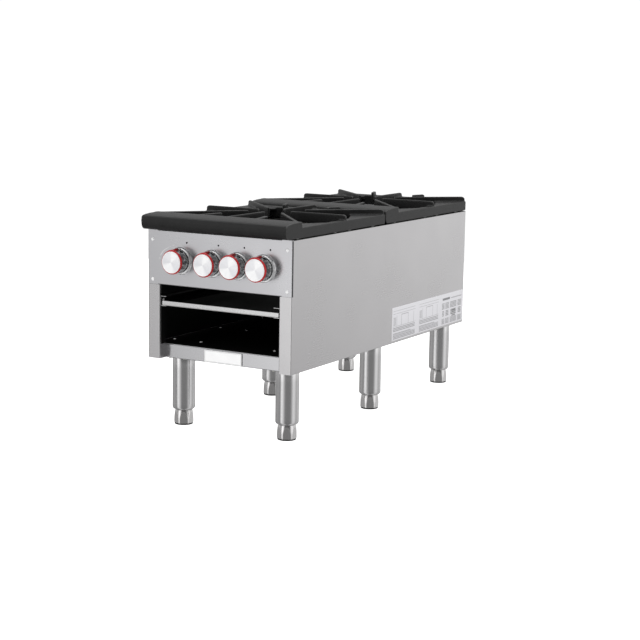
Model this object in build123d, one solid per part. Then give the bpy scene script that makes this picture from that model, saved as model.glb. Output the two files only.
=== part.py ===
from build123d import *
import os
import math

os.makedirs("parts", exist_ok=True)

# ---------------------------------------------------------------------------
# Two-burner gas stock pot range, 18 in wide, on six levelling legs.
# Millimetres.  While modelling, X = 0 is the centre plane, Y = 0 is the face
# of the control panel and +Y runs to the rear, Z = 0 is the floor.  Every
# piece is moved by -YC when it is written, which puts the origin under the
# middle of the whole range.
# ---------------------------------------------------------------------------

# body
W = 457.0            # width of the cabinet (18 in)
HW = W / 2
D = 1054.0           # depth of the cabinet
Z_BOT = 194.0        # lower edge of the cabinet
Z_TOP = 547.0        # upper edge of the cabinet
T = 1.2              # sheet thickness
R_BEND = 2.2         # outer bend radius
STRIP = 38.3         # width of the front flange of a side panel
RETURN = 27.0        # depth of its return
Z_PANEL = 399.0      # lower edge of the control panel
Z_KICK = 232.7       # top of the kick rail and of the floor

# legs
LEG_X = 168.0
LEG_Y = (83.0, 551.0, 1013.7)
LEG_R = 31.5
LEG_Z0 = 42.2
FOOT_H = 41.9
FOOT_R = 26.5
FOOT_NECK = 23.4     # its radius at the top
FOOT_AF = 49.0       # across its flats
PAD_H = 3.6
STEM_R = 8.0
FIT = 0.05           # radial clearance of a running fit

# controls
KNOB_X = (-121.5, -20.5, 60.8, 141.8)
KNOB_Z = 468.0
KNOB_OUT = 45.0      # how far a knob stands out of the panel
PILOT_X = (-101.3, 0.0, 81.3, 161.7)
PILOT_Z = 518.0

# gas train
MAN_Y = 70.0         # gas manifold axis
MAN_R = 13.35        # 3/4 in pipe
GAS_Z = 436.0        # axis of orifices and mixing tubes
SUPPLY_X = 185.0
STUB = 25.0          # supply pipe behind the cabinet
THREAD_R = 13.0      # its threaded end

# burners and grates
PITCH = 544.0        # front grate to rear grate
BURN_Y = 285.0       # centre of the front burner
RING_Z0 = 505.0
GRATE_Z0 = 549.0
GRATE_PLATE = 577.0
GRATE_TOP = 592.0
GHW = 229.0          # half width of a grate
FINGER_Z0 = 563.0    # lower edge of its fingers
BAR_Z0 = 549.5       # lower edge of its rear bar
GRATE_REAR = 510.0     # rear end of the front grate

# drip tray
TRAY_Z = 341.5
TRAY_HW = 185.2
TRAY_Y0 = 5.0
TRAY_Y1 = 1045.0

YC = (D + STUB - KNOB_OUT) / 2


# ---------------------------------------------------------------- helpers
def bx(x0, x1, y0, y1, z0, z1):
    return Pos((x0 + x1) / 2, (y0 + y1) / 2, (z0 + z1) / 2) * Box(x1 - x0, y1 - y0, z1 - z0)


def cyl(r, p, q):
    """Solid cylinder of radius r from point p to point q."""
    a, b = Vector(*p), Vector(*q)
    d = b - a
    pl = Plane(origin=a, z_dir=d.normalized())
    return pl * (Pos(0, 0, d.length / 2) * Cylinder(r, d.length))


def tube(r, ri, p, q):
    a, b = Vector(*p), Vector(*q)
    d = (b - a).normalized()
    return cyl(r, p, q) - cyl(ri, tuple(a - d * 0.5), tuple(b + d * 0.5))


def ball(r, p):
    return Pos(*p) * Sphere(r)


def poly(pts):
    return make_face(Polyline(*pts, close=True))


PXY = Plane.XY
PXZ = Plane(origin=(0, 0, 0), x_dir=(1, 0, 0), z_dir=(0, -1, 0))
PYZ = Plane(origin=(0, 0, 0), x_dir=(0, 1, 0), z_dir=(1, 0, 0))


def prism(face, axis, a, b):
    """Extrude a face given in the plane square to the axis, from a to b."""
    if axis == "z":
        f = Pos(0, 0, a) * face
        return extrude(f, amount=b - a, dir=(0, 0, 1))
    if axis == "y":
        f = Pos(0, a, 0) * (PXZ * face)
        return extrude(f, amount=b - a, dir=(0, 1, 0))
    f = Pos(a, 0, 0) * (PYZ * face)
    return extrude(f, amount=b - a, dir=(1, 0, 0))


def bent(pts, t, side, axis, a, b, r=R_BEND):
    """Folded sheet: pts is one face of the sheet, which is t thick towards
    side (+1 is left of the line, -1 is right of it)."""
    n = len(pts)
    nor = []
    for i in range(n - 1):
        dx, dy = pts[i + 1][0] - pts[i][0], pts[i + 1][1] - pts[i][1]
        L = math.hypot(dx, dy)
        nor.append((-dy / L * side, dx / L * side))
    inner = []
    for i in range(n):
        if i == 0:
            m = nor[0]
            inner.append((pts[0][0] + m[0] * t, pts[0][1] + m[1] * t))
        elif i == n - 1:
            m = nor[-1]
            inner.append((pts[-1][0] + m[0] * t, pts[-1][1] + m[1] * t))
        else:
            m0, m1 = nor[i - 1], nor[i]
            k = 1 + m0[0] * m1[0] + m0[1] * m1[1]
            inner.append((pts[i][0] + (m0[0] + m1[0]) / k * t,
                          pts[i][1] + (m0[1] + m1[1]) / k * t))
    f = poly(list(pts) + inner[::-1])
    for i in range(1, n - 1):
        cr = (pts[i][0] - pts[i - 1][0]) * (pts[i + 1][1] - pts[i][1]) - \
             (pts[i][1] - pts[i - 1][1]) * (pts[i + 1][0] - pts[i][0])
        out_here = cr * side > 0      # True: the inner line is inside the bend
        ro, ri = (r, max(r - t, 0.2)) if out_here else (max(r - t, 0.2), r)
        for q, rad in ((pts[i], ro), (inner[i], ri)):
            v = f.vertices().sort_by_distance(Vector(q[0], q[1], 0))[0]
            f = fillet(v, radius=rad)
    return prism(f, axis, a, b)


def ring_solid(profile, centre, axis="z"):
    """Turn a closed (r, h) profile about a vertical or a front-to-back axis."""
    if axis == "z":
        f = PXZ * poly(profile)
        s = revolve(f, Axis.Z)
        return Pos(*centre) * s
    f = poly(profile)
    s = revolve(f, Axis.Y)
    return Pos(*centre) * s


def dome(p, n, r=4.6, h=2.2, shank=1.9, length=4.0):
    """Domed screw: p is the seat of the head, n the way the head points."""
    c = (r * r + h * h) / (2 * h)
    pr = [(0.0, 0.0), (r, 0.0), (r, 0.4)]
    steps = 5
    a0 = math.asin(r / c)
    for k in range(1, steps + 1):
        a = a0 * (1 - k / steps)
        pr.append((c * math.sin(a), 0.4 + c * math.cos(a) - c * math.cos(a0)))
    f = PXZ * poly(pr)
    s = revolve(f, Axis.Z)
    s = s + Pos(0, 0, -length / 2) * Cylinder(shank, length)
    # recess for the driver
    top = 0.4 + c - c * math.cos(a0)
    s = s - Pos(0, 0, top) * Box(3.6, 0.9, 1.6) - Pos(0, 0, top) * Box(0.9, 3.6, 1.6)
    return Plane(origin=p, z_dir=n) * s


def put(name, shape):
    if isinstance(shape, (list, tuple)):
        shape = Compound(children=[s for s in shape])
    export_step(Pos(0, -YC, 0) * shape, f"parts/{name}.step")


def mirror_x(s):
    return mirror(s, about=Plane.YZ)


# ---------------------------------------------------------------- cabinet
def side_panel():
    """Right-hand side panel; the left one is its mirror image."""
    wall = bent([(HW - 30, Z_TOP), (HW, Z_TOP), (HW, Z_BOT), (HW - 18, Z_BOT)],
                T, -1, "y", 5.3, D - 1.6)
    strip = bent([(HW - STRIP, RETURN), (HW - STRIP, 0), (HW, 0), (HW, 9)],
                 T, 1, "z", Z_BOT, Z_PANEL - 0.4)
    back = bent([(HW, D - 9), (HW, D), (HW - 20, D)], T, 1, "z", Z_BOT + 2, Z_TOP - 2)
    s = wall + strip + back
    # rear flange screw holes
    for z in REAR_SCREW_Z:
        s = s - cyl(2.1, (HW - 10, D - 3, z), (HW - 10, D + 1, z))
    # front screw holes for the tray rail
    s = s - cyl(2.1, (HW - STRIP - 3, 16, 355.6), (HW - STRIP + 3, 16, 355.6))
    return s


REAR_SCREW_Z = (222.0, 300.0, 378.0, 456.0, 528.0)

right = side_panel()
put("side_panel_right", right)
put("side_panel_left", mirror_x(right))

# control panel: face, top flange, bottom flange and short side returns
panel = bent([(60, Z_TOP), (0, Z_TOP), (0, Z_PANEL), (24, Z_PANEL)], T, 1, "x", -HW + 31, HW - 31)
corner = bent([(HW - 32, 0), (HW, 0), (HW, 5)], T, 1, "z", Z_PANEL, Z_TOP)
corner = corner + bx(HW - 32, HW - 0.2, 0.6, 5.0, Z_TOP - T, Z_TOP)
panel = panel + corner + mirror_x(corner)
PANEL_SCREWS = [(x, z) for x in (-213.0, 213.0) for z in (412.3, 520.7)]
for x in KNOB_X:
    panel = panel - cyl(8.0, (x, -1, KNOB_Z), (x, 3, KNOB_Z))
for x in PILOT_X:
    panel = panel - cyl(2.6, (x, -1, PILOT_Z), (x, 3, PILOT_Z))
for x, z in PANEL_SCREWS:
    panel = panel - cyl(2.1, (x, -1, z), (x, 3, z))
put("control_panel", panel)
panel_screws = [dome((x, 0, z), (0, -1, 0), r=5.0, h=3.4) for x, z in PANEL_SCREWS]

# kick rail under the opening
kick = bent([(50, Z_KICK - T), (RETURN, Z_KICK - T), (RETURN, Z_BOT), (RETURN + 14, Z_BOT)],
            T, 1, "x", -HW + T + 0.1, HW - T - 0.1)
for sx in (-1, 1):
    kick = kick - bx(min(sx * 210.3, sx * HW), max(sx * 210.3, sx * HW), RETURN - 1, RETURN + 30, Z_BOT - 1, Z_BOT + T + 0.4)
put("kick_rail", kick)

# plain badge plate on the kick rail
badge = bx(-59.5, 59.5, RETURN - 3.4, RETURN, 196.3, 229.0)
badge = fillet(badge.edges().filter_by(Axis.Y), radius=1.5)
put("badge_plate", badge)

# floor of the cabinet
FLOOR_SCREW_Y = (95.0, 325.0, 555.0, 785.0, 1015.0)
FLOOR_SCREW_X = (-208.0, -119.0, 119.0, 208.0)
floor = bx(-HW + T + 0.1, HW - T - 0.1, RETURN, D - 1.25 - T, Z_KICK - T, Z_KICK)
for x in FLOOR_SCREW_X:
    for y in FLOOR_SCREW_Y:
        floor = floor - cyl(2.1, (x, y, Z_KICK - 4), (x, y, Z_KICK + 2))
put("floor_panel", floor)
put("floor_screws", [dome((x, y, Z_KICK), (0, 0, 1), length=5.5)
                     for x in FLOOR_SCREW_X for y in FLOOR_SCREW_Y])

# rear panel with its top flange, gas hole and air slots
rear = bent([(998, Z_TOP), (D - 1.25, Z_TOP), (D - 1.25, Z_BOT + 1.5)], T, -1, "x", -HW + 31, HW - 31)
rear = rear + bx(-HW + 2.6, HW - 2.6, D - 1.25 - T, D - 1.25, Z_BOT + 1.5, Z_TOP - 4)
rear = rear - cyl(14.6, (SUPPLY_X, D - 6, KNOB_Z), (SUPPLY_X, D + 2, KNOB_Z))
for sx in (-1, 1):
    for z in REAR_SCREW_Z:
        rear = rear - cyl(2.1, (sx * (HW - 10), D - 6, z), (sx * (HW - 10), D + 2, z))
for i in range(5):
    for z in (270.0, 290.0):
        x = -140.0 + 70.0 * i
        slot = bx(x - 22, x + 22, D - 6, D + 2, z - 3.5, z + 3.5) + \
            cyl(3.5, (x - 22, D - 6, z), (x - 22, D + 2, z)) + \
            cyl(3.5, (x + 22, D - 6, z), (x + 22, D + 2, z))
        rear = rear - slot
put("rear_panel", rear)
put("rear_screws", [dome((sx * (HW - 10), D, z), (0, 1, 0), length=4.5)
                    for sx in (-1, 1) for z in REAR_SCREW_Z])

# bar across the cabinet between the two grates
cross = bent([(492, 524), (492, Z_TOP - T - 0.05), (530, Z_TOP - T - 0.05), (530, 524)],
             1.5, -1, "x", -HW + 2.4, HW - 2.4)
put("grate_crossbar", cross)


# ---------------------------------------------------------------- legs
# hat channel under the floor that carries three legs (right side)
x0, x1 = LEG_X - 33.5, LEG_X + 33.5
zt = Z_KICK - T
rail = bent([(x0 - 22, zt), (x0, zt), (x0, 197.0), (x1, 197.0), (x1, zt), (x1 + 17, zt)],
            2.0, -1, "y", 52.0, D - 4.5, r=3.0)
BOLT_DX, BOLT_DY = 24.5, 29.0
for y in FLOOR_SCREW_Y:
    for x in (119.0, 208.0):
        rail = rail - cyl(2.1, (x, y, 225), (x, y, 235))
for y in LEG_Y:
    for sx in (-1, 1):
        for sy in (-1, 1):
            rail = rail - cyl(3.3, (LEG_X + sx * BOLT_DX, y + sy * BOLT_DY, 190),
                              (LEG_X + sx * BOLT_DX, y + sy * BOLT_DY, 200))
put("leg_rail_right", rail)
put("leg_rail_left", mirror_x(rail))


def leg_solid():
    """Leg at the origin of X and Y: tube, rounded shoulder, nut, top plate."""
    rr = 8.0
    pr = [(STEM_R + FIT, LEG_Z0), (LEG_R - rr, LEG_Z0)]
    for k in range(1, 7):
        a = math.radians(90 * k / 6)
        pr.append((LEG_R - rr + rr * math.sin(a), LEG_Z0 + rr - rr * math.cos(a)))
    pr += [(LEG_R, 191.9), (LEG_R - 1.6, 191.9), (LEG_R - 1.6, 60.0), (STEM_R + FIT, 60.0)]
    s = ring_solid(pr, (0, 0, 0))
    plate = bx(-32, 32, -36, 36, 191.9, 194.9)
    plate = fillet(plate.edges().filter_by(Axis.Z), radius=5)
    for sx in (-1, 1):
        for sy in (-1, 1):
            plate = plate - cyl(3.3, (sx * BOLT_DX, sy * BOLT_DY, 190), (sx * BOLT_DX, sy * BOLT_DY, 197))
    return s + plate


def foot_solid(turn=0.0):
    """Levelling foot with its stem, on the floor at the origin of X and Y:
    turned body that draws in towards the top, six flats, thin pad below."""
    pad = Pos(0, 0, PAD_H / 2) * Cylinder(FOOT_R - 1.3, PAD_H)
    z0, z1 = 14.0, FOOT_H
    drop = FOOT_R - FOOT_NECK
    rc = ((z1 - z0) ** 2 + drop ** 2) / (2 * drop)
    pr = [(0, PAD_H), (FOOT_R - 1.0, PAD_H), (FOOT_R, PAD_H + 1.0), (FOOT_R, z0)]
    for k in range(1, 9):
        z = z0 + (z1 - z0) * k / 8
        pr.append((FOOT_R - rc + math.sqrt(rc * rc - (z - z0) ** 2), z))
    pr.append((0, z1))
    body = ring_solid(pr, (0, 0, 0))
    hexa = extrude(Pos(0, 0, PAD_H) * RegularPolygon(FOOT_AF / 2, 6, major_radius=False), amount=FOOT_H - PAD_H)
    body = body & Rot(0, 0, turn) * hexa
    stem = Pos(0, 0, (FOOT_H + 92.0) / 2 - 1) * Cylinder(STEM_R, 92.0 - FOOT_H + 2)
    return pad + body + stem


def hexbolt(x, y):
    """Leg bolt with its nut: head under the plate, nut inside the channel."""
    head = extrude(Pos(x, y, 188.0) * RegularPolygon(5.0, 6, major_radius=False), amount=3.9)
    shank = cyl(3.0, (x, y, 190), (x, y, 206))
    nut = extrude(Pos(x, y, 197.0) * RegularPolygon(5.0, 6, major_radius=False), amount=5.0)
    return head + shank + nut


LEG_NAMES = {}
leg0 = leg_solid()
FOOT_TURN = {"front_left": 34.0, "front_right": 31.0, "middle_left": 28.0,
             "middle_right": 33.0, "rear_left": 36.0, "rear_right": 29.0}
bolts = []
for yi, yname in enumerate(("front", "middle", "rear")):
    for sx, xname in ((-1, "left"), (1, "right")):
        p = (sx * LEG_X, LEG_Y[yi])
        put(f"leg_{yname}_{xname}", Pos(p[0], p[1], 0) * leg0)
        put(f"foot_{yname}_{xname}", Pos(p[0], p[1], 0) * foot_solid(FOOT_TURN[f"{yname}_{xname}"]))
        for ax in (-1, 1):
            for ay in (-1, 1):
                bolts.append(hexbolt(p[0] + ax * BOLT_DX, p[1] + ay * BOLT_DY))
put("leg_bolts", bolts)

# ---------------------------------------------------------------- drip tray
# rails: a channel on each side, open towards the middle
rx = HW - STRIP
trail = bent([(rx - 19, 367.0), (rx, 367.0), (rx, 340.0), (rx - 19, 340.0)], T, -1, "y", 3.5, D - 5.0, r=1.8)
for y in (350.0, 690.0, 1030.0):
    arm = bx(rx - 0.05, HW - T - 0.05, y, y + 1.5, 343, 362) + \
        bx(HW - T - 1.6, HW - T - 0.05, y, y + 20, 343, 362)
    trail = trail + arm
trail = trail - cyl(2.1, (rx - 3, 16, 355.6), (rx + 3, 16, 355.6))
put("tray_rail_right", trail)
put("tray_rail_left", mirror_x(trail))
rail_screws = [dome((sx * (rx - T), 16, 355.6), (-sx, 0, 0), r=3.6, h=1.2, length=4.0) for sx in (-1, 1)]
put("front_screws", panel_screws + rail_screws)

# tray: folded pan with a hemmed front lip
pan = bx(-TRAY_HW, TRAY_HW, TRAY_Y0 + 0.6, TRAY_Y1, TRAY_Z, TRAY_Z + T)
pan = pan + bx(-TRAY_HW, -TRAY_HW + T, TRAY_Y0 + 2, TRAY_Y1, TRAY_Z, TRAY_Z + 12)
pan = pan + bx(TRAY_HW - T, TRAY_HW, TRAY_Y0 + 2, TRAY_Y1, TRAY_Z, TRAY_Z + 12)
pan = pan + bx(-TRAY_HW, TRAY_HW, TRAY_Y1 - T, TRAY_Y1, TRAY_Z, TRAY_Z + 12)
lip = bx(-TRAY_HW, TRAY_HW, TRAY_Y0, TRAY_Y0 + 4.0, TRAY_Z, TRAY_Z + 12.5)
lip = fillet(lip.edges().filter_by(Axis.X).group_by(Axis.Z)[0], radius=1.9)
lip = fillet(lip.edges().filter_by(Axis.X).group_by(Axis.Z)[-1], radius=1.2)
lip = lip - bx(-TRAY_HW - 1, TRAY_HW + 1, TRAY_Y0 - 1, TRAY_Y0 + 0.6, TRAY_Z + 5.9, TRAY_Z + 6.7)
put("drip_tray", pan + lip)

# ---------------------------------------------------------------- gas train
man = tube(MAN_R, 10.5, (-165.0, MAN_Y, KNOB_Z), (167.0, MAN_Y, KNOB_Z))
man = man + cyl(15.5, (-172, MAN_Y, KNOB_Z), (-164, MAN_Y, KNOB_Z))
put("gas_manifold", man)
man_core = cyl(MAN_R, (-200, MAN_Y, KNOB_Z), (167.0, MAN_Y, KNOB_Z))



def pipe_path(pts, r, bend):
    """Round bar of radius r along straight runs joined by bends."""
    path = FilletPolyline(*pts, radius=bend) if len(pts) > 2 else Line(*pts)
    w = path.wires()[0] if hasattr(path, "wires") and path.wires() else Wire(path.edges())
    sec = Plane(origin=w @ 0, z_dir=w % 0) * Circle(r)
    return sweep(sec, path=w)


# supply pipe: elbow at the manifold, run along the right side, threaded
# stub behind the cabinet
ELBOW = [(167.0, MAN_Y, KNOB_Z), (SUPPLY_X, MAN_Y, KNOB_Z), (SUPPLY_X, MAN_Y + 30, KNOB_Z)]
sup = pipe_path(ELBOW, 17.0, 17.8) - pipe_path(ELBOW, 10.5, 17.8)
sup = sup + tube(MAN_R, 10.5, (SUPPLY_X, MAN_Y + 30, KNOB_Z), (SUPPLY_X, D + 3, KNOB_Z))
sup = sup + tube(THREAD_R, 10.5, (SUPPLY_X, D + 3, KNOB_Z), (SUPPLY_X, D + STUB, KNOB_Z))
put("supply_pipe", sup)

# valves: round body, nose towards the panel, nipple into the manifold,
# outlet turned down and back
valves = []
for x in KNOB_X:
    v = cyl(15.0, (x, 15, KNOB_Z), (x, 48, KNOB_Z)) + cyl(10.0, (x, 5, KNOB_Z), (x, 15, KNOB_Z))
    v = v + cyl(8.0, (x, 48, KNOB_Z), (x, MAN_Y, KNOB_Z))
    v = v + cyl(7.0, (x, 34, KNOB_Z), (x, 34, GAS_Z)) + ball(7.0, (x, 34, GAS_Z)) + \
        cyl(7.0, (x, 34, GAS_Z), (x, 60, GAS_Z))
    v = v - man_core
    v = v - cyl(4.0 + FIT, (x, 4, KNOB_Z), (x, 16, KNOB_Z))
    valves.append(v)
put("gas_valves", valves)

MIX_F, MIX_R = 90.0, 640.0     # mouths of the front and rear mixing tubes


def hexpiece(x, y0, y1, z, af):
    return prism(Pos(x, z) * RegularPolygon(af / 2, 6, major_radius=False), "y", y0, y1)


feeds, orifices = [], []
for i, x in enumerate(KNOB_X):
    if i < 2:
        orifices.append(hexpiece(x, 60.0, 74.0, GAS_Z, 13.0) + cyl(3.6, (x, 74, GAS_Z), (x, 80, GAS_Z)))
    else:
        feeds.append(cyl(6.35, (x, 60.0, GAS_Z), (x, MIX_R - 30.0, GAS_Z)))
        orifices.append(hexpiece(x, MIX_R - 30.0, MIX_R - 16.0, GAS_Z, 13.0) +
                        cyl(3.6, (x, MIX_R - 16.0, GAS_Z), (x, MIX_R - 10.0, GAS_Z)))
put("rear_feed_pipes", feeds)
put("orifices", orifices)


def ports(x, y0, y1):
    """Three air ports around the axis of a mixing tube."""
    out = None
    for k in range(3):
        a = math.radians(30 + 120 * k)
        c = cyl(4.0, (x + 11.0 * math.cos(a), y0, GAS_Z + 11.0 * math.sin(a)),
                (x + 11.0 * math.cos(a), y1, GAS_Z + 11.0 * math.sin(a)))
        out = c if out is None else out + c
    return out


def burner(r_mean, cy, mouth_x, mouth_y, foot_xy, ring_xy):
    """Cast ring burner with its feed arm and mixing tube."""
    a = 12.0
    z0 = RING_Z0
    pr = [(r_mean - a, z0), (r_mean + a, z0), (r_mean + a, z0 + 15), (r_mean + 6, z0 + 24),
          (r_mean - 6, z0 + 24), (r_mean - a, z0 + 15)]
    s = ring_solid(pr, (0, cy, 0))
    fx, fy = foot_xy
    s = s + cyl(19.0, (mouth_x, mouth_y, GAS_Z), (mouth_x, fy, GAS_Z))
    s = s + ball(19.0, (mouth_x, fy, GAS_Z))
    s = s + cyl(14.0, (mouth_x, fy, GAS_Z), (ring_xy[0], ring_xy[1], z0 + 8))
    s = s + cyl(24.0, (mouth_x, mouth_y, GAS_Z), (mouth_x, mouth_y + 4, GAS_Z))
    s = s - cyl(15.5, (mouth_x, mouth_y + 3, GAS_Z), (mouth_x, fy - 4, GAS_Z))
    s = s - cyl(5.5, (mouth_x, mouth_y - 1, GAS_Z), (mouth_x, mouth_y + 5, GAS_Z))
    s = s - ports(mouth_x, mouth_y - 1, mouth_y + 5)
    # keep the arm out of the space above the ring
    s = s - bx(-250, 250, cy - 250, cy + 250, z0 + 24.01, z0 + 80)
    return s


yF, yR = BURN_Y, BURN_Y + PITCH
b1 = burner(100.0, yF, KNOB_X[0], MIX_F, (KNOB_X[0], yF), (-100.0, yF))
b2 = burner(45.0, yF, KNOB_X[1], MIX_F, (KNOB_X[1], yF - 40), (-20.0, yF - 40))
b3 = burner(45.0, yR, KNOB_X[2], MIX_R, (KNOB_X[2], yR), (45.0, yR))
b4 = burner(100.0, yR, KNOB_X[3], MIX_R, (KNOB_X[3], yR), (100.0, yR))
put("burner_front_outer", b1)
put("burner_front_inner", b2)
put("burner_rear_inner", b3)
put("burner_rear_outer", b4)

# flat bars that carry the ring burners, turned down and fixed at the sides
bars = []
for cy_ in (yF, yR):
    for off in (-75.0, 45.0):
        y0 = cy_ + off - 12.5
        bars.append(bent([(-HW + T, 478), (-HW + T, RING_Z0), (HW - T, RING_Z0), (HW - T, 478)],
                         3.0, -1, "y", y0, y0 + 25.0, r=4.0))
put("burner_supports", bars)


def shutter(x, y):
    """Rotary air shutter: disc with three ports and a finger tab."""
    s = cyl(23.0, (x, y - 2.0, GAS_Z), (x, y - 0.4, GAS_Z))
    s = s + bx(x - 4, x + 4, y - 2.0, y - 0.4, GAS_Z + 18, GAS_Z + 31)
    s = s - cyl(5.5, (x, y - 3, GAS_Z), (x, y + 1, GAS_Z)) - ports(x, y - 3, y + 1)
    return s


for i, x in enumerate(KNOB_X):
    put(f"air_shutter_{i + 1}", shutter(x, MIX_F if i < 2 else MIX_R))

# pilot valves on the manifold, with the adjusting screw behind each panel hole
pvs = []
for x in PILOT_X:
    v = cyl(5.0, (x, MAN_Y, KNOB_Z), (x, MAN_Y, PILOT_Z)) + cyl(7.5, (x, 30, PILOT_Z), (x, 78, PILOT_Z)) + \
        cyl(3.6, (x, 10, PILOT_Z), (x, 30, PILOT_Z))
    v = v - bx(x - 4, x + 4, 9, 11.2, PILOT_Z - 0.5, PILOT_Z + 0.5)
    v = v - man_core
    pvs.append(v)
put("pilot_valves", pvs)


pt = []
PR = 3.2
pt.append(cyl(PR, (PILOT_X[0], 78, PILOT_Z), (PILOT_X[0], yF - 62, PILOT_Z)))
pt.append(cyl(PR, (PILOT_X[1], 78, PILOT_Z), (PILOT_X[1], yF - 124, PILOT_Z)))
pt.append(pipe_path([(PILOT_X[2], 78, PILOT_Z), (PILOT_X[2], 122, PILOT_Z), (207, 122, PILOT_Z),
                     (207, yR - 59, PILOT_Z), (124, yR - 59, PILOT_Z)], PR, 14.0))
pt.append(pipe_path([(PILOT_X[3], 78, PILOT_Z), (PILOT_X[3], 102, PILOT_Z), (216, 102, PILOT_Z),
                     (216, yR + 59, PILOT_Z), (124, yR + 59, PILOT_Z)], PR, 11.0))
pt[0] = pt[0] + cyl(4.6, (PILOT_X[0], yF - 70, PILOT_Z), (PILOT_X[0], yF - 58, PILOT_Z))
pt[1] = pt[1] + cyl(4.6, (PILOT_X[1], yF - 132, PILOT_Z), (PILOT_X[1], yF - 120, PILOT_Z))
pt[2] = pt[2] + cyl(4.6, (132, yR - 59, PILOT_Z), (120, yR - 59, PILOT_Z))
pt[3] = pt[3] + cyl(4.6, (132, yR + 59, PILOT_Z), (120, yR + 59, PILOT_Z))
put("pilot_tubes", pt)

# ---------------------------------------------------------------- knobs
bezels = []
for i, x in enumerate(KNOB_X):
    n = i + 1
    # chrome bezel on the panel
    bz = cyl(37.5, (x, 0, KNOB_Z), (x, -8, KNOB_Z)) - cyl(31.0, (x, 1, KNOB_Z), (x, -9, KNOB_Z))
    e = [q for q in bz.edges().filter_by(GeomType.CIRCLE) if q.radius > 37 and q.center().Y < -7]
    bz = fillet(e, radius=3.0)
    bezels.append(bz)
    # fluted body
    yb, yf = -1.5, -38.0
    prof = [(0, yb), (30.0, yb), (30.0, -8.0), (28.4, yf), (0, yf)]
    k = ring_solid(prof, (x, 0, KNOB_Z), axis="y")
    for j in range(8):
        a = math.radians(22.5 + 45 * j)
        cx, cz = x + 39.5 * math.cos(a), KNOB_Z + 39.5 * math.sin(a)
        k = k - cyl(12.0, (cx, -11, cz), (cx, -40, cz))
    k = k - bx(x - 2.6, x + 2.6, -39, -11.4, KNOB_Z + 26.9, KNOB_Z + 37)
    k = k - cyl(4.0, (x, 0, KNOB_Z), (x, -30, KNOB_Z))
    put(f"knob_{n}", k)
    # face: ring with the pointer, and the turned disc
    rg = ring_solid([(24, -38.0), (32.4, -38.0), (32.4, -41.0), (30.8, -43.5), (24, -43.5)],
                    (x, 0, KNOB_Z), axis="y")
    ptr = bx(x - 2.5, x + 2.5, -38.5, -11.5, KNOB_Z + 27.0, KNOB_Z + 36.3)
    rg = rg + ptr
    disc = cyl(29.2, (x, -43.5, KNOB_Z), (x, -KNOB_OUT, KNOB_Z)) + cyl(24.0, (x, -38.0, KNOB_Z), (x, -44.0, KNOB_Z))
    put(f"knob_face_{n}", [rg, disc])
    # stem of the valve, flat on one side inside the knob
    st = cyl(4.0, (x, -30, KNOB_Z), (x, 14, KNOB_Z))
    put(f"valve_stem_{n}", st)
put("knob_bezels", bezels)


# ---------------------------------------------------------------- grates
def finger(po, pi, z0=FINGER_Z0, z1=GRATE_TOP, w=7.0, ro=10.0, ri=2.0):
    """Upright web from the outer point po to the inner point pi."""
    dx, dy = pi[0] - po[0], pi[1] - po[1]
    L = math.hypot(dx, dy)
    ux, uy = dx / L, dy / L
    f = poly([(0, z0), (0, z1), (L, z1), (L, z0)])
    for q, rad in (((0, z1), ro), ((L, z1), ri)):
        if rad > 0:
            v = f.vertices().sort_by_distance(Vector(q[0], q[1], 0))[0]
            f = fillet(v, radius=rad)
    pl = Plane(origin=(po[0], po[1], 0), x_dir=(ux, uy, 0), z_dir=(uy, -ux, 0))
    s = extrude(pl * f, amount=w / 2, both=True)
    return s


OCT = [(-95, 46), (95, 46), (162, 122), (212, 200), (206, 292), (204, 336), (165, 420), (112, 480),
       (-112, 480), (-165, 420), (-204, 336), (-206, 292), (-212, 200), (-162, 122)]


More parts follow.
